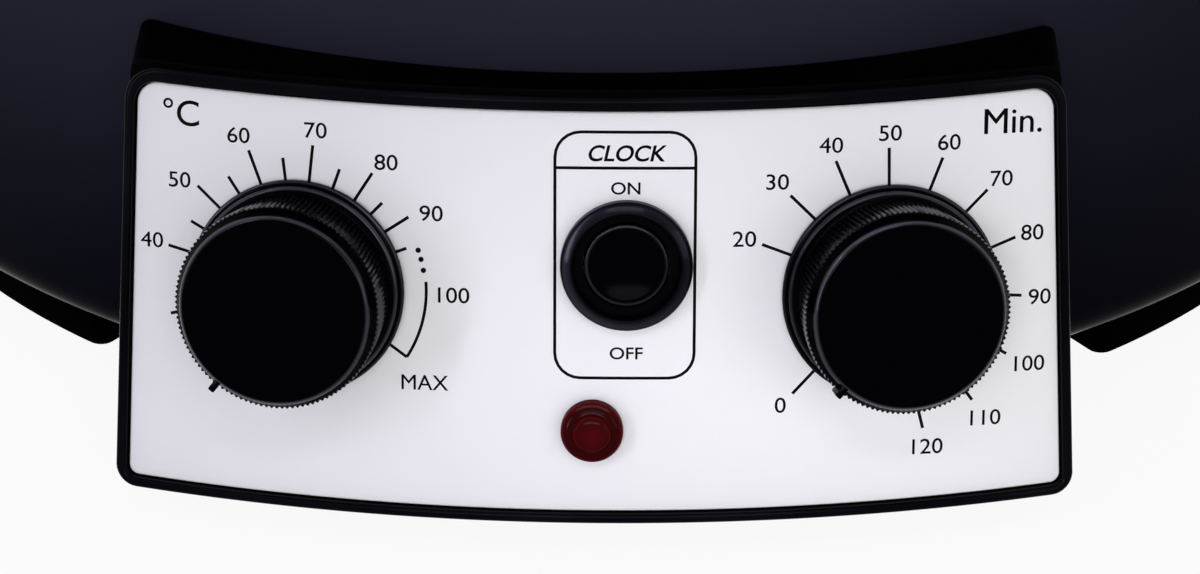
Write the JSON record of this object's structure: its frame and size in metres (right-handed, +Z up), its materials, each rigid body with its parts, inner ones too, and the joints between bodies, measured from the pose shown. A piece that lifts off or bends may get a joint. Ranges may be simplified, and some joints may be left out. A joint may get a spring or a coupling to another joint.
{
  "type": "electric preserving cooker",
  "caption": "Enamelled countertop preserving cooker: round heated pot with lift-off lid, jar rack, side handles and a curved control panel with thermostat and timer dials, push button and lamp.",
  "frame": {"origin": "middle of the object's plan, on the surface that the feet stand on", "axes": "+Z up, the control panel faces -Y, +X towards the right-hand handle as seen by a user in front of the panel"},
  "size_m": [0.452, 0.4064, 0.4186],
  "materials": {
    "enamel": "gloss vitreous enamel, dark blue-black",
    "housing_black": "matt moulded plastic",
    "gloss_black": "polished moulded plastic",
    "knob_black": "moulded plastic, semi-gloss with a knurled band",
    "plate_white": "pale grey printed sheet, satin",
    "lens_red": "clear red moulded lens",
    "zinc_steel": "zinc-plated steel",
    "aluminium": "cast, as cast",
    "inner_plastic": "heat-resistant moulded plastic",
    "copper": "drawn copper, bright",
    "foot_black": "moulded rubber, matt",
    "wire_sleeve": "woven glass sleeving"
  },
  "bodies": {
    "cooker": {"pot": "enamel", "control_housing": "housing_black", "bezel": "gloss_black", "button_collar": "gloss_black", "cable_gland": "gloss_black", "handle_left": "gloss_black", "handle_right": "gloss_black", "fascia_plate": "plate_white", "lamp_lens": "lens_red", "heat_spreader": "aluminium", "thermostat_body": "inner_plastic", "timer_body": "inner_plastic", "button_switch": "inner_plastic", "lamp_body": "inner_plastic", "terminal_block": "inner_plastic", "thermal_cutout": "inner_plastic", "sensor_bulb": "copper", "capillary_tube": "copper", "foot_front_left": "foot_black", "foot_front_right": "foot_black", "foot_back_left": "foot_black", "foot_back_right": "foot_black", "wire_thermostat_to_heater": "wire_sleeve", "wire_block_to_timer": "wire_sleeve", "wire_block_to_heater": "wire_sleeve", "heating_element": "zinc_steel", "heat_shield": "zinc_steel", "centre_stud": "zinc_steel", "shield_spacer": "zinc_steel", "shield_nut": "zinc_steel", "bulb_clip": "zinc_steel", "base_plate": "zinc_steel", "base_nut": "zinc_steel", "foot_screw_front_left": "zinc_steel", "foot_screw_front_right": "zinc_steel", "foot_screw_back_left": "zinc_steel", "foot_screw_back_right": "zinc_steel", "gland_nut": "zinc_steel", "housing_screw_left": "zinc_steel", "housing_screw_right": "zinc_steel", "thermostat_nut": "zinc_steel", "timer_nut": "zinc_steel", "button_nut": "zinc_steel", "handle_strap_left": "zinc_steel", "handle_strap_right": "zinc_steel", "handle_screw_left_front": "zinc_steel", "handle_screw_left_back": "zinc_steel", "handle_screw_right_front": "zinc_steel", "handle_screw_right_back": "zinc_steel"},
    "thermostat_dial": {"thermostat_knob": "knob_black", "thermostat_shaft": "zinc_steel"},
    "timer_dial": {"timer_knob": "knob_black", "timer_shaft": "zinc_steel"},
    "button": {"button_cap": "knob_black", "button_spring": "zinc_steel"},
    "lid": {"lid": "enamel", "lid_knob": "gloss_black", "lid_washer": "zinc_steel", "lid_screw": "zinc_steel"},
    "rack": {"jar_rack": "zinc_steel"}
  },
  "joints": [
    {"name": "thermostat_turn", "type": "hinge", "parent": "cooker", "child": "thermostat_dial", "pos_m": [-0.05543, -0.17894, 0.05093], "axis": [0.164, 0.9528, -0.2554], "range_deg": [0, 261]},
    {"name": "timer_turn", "type": "hinge", "parent": "cooker", "child": "timer_dial", "pos_m": [0.05543, -0.17894, 0.05093], "axis": [-0.164, 0.9528, -0.2554], "range_deg": [0, 303]},
    {"name": "button_press", "type": "slide", "parent": "cooker", "child": "button", "axis": [-0.0184, 0.9666, -0.2554], "range_m": [0, 0.003], "stiffness_N_per_m": 300, "springref_m": -0.002, "deforming": ["button_spring"]},
    {"name": "lid_lift", "type": "slide", "parent": "cooker", "child": "lid", "axis": [0, 0, 1], "range_m": [0, 0.25]},
    {"name": "rack_lift", "type": "slide", "parent": "cooker", "child": "rack", "axis": [0, 0, 1], "range_m": [0, 0.24]}
  ]
}
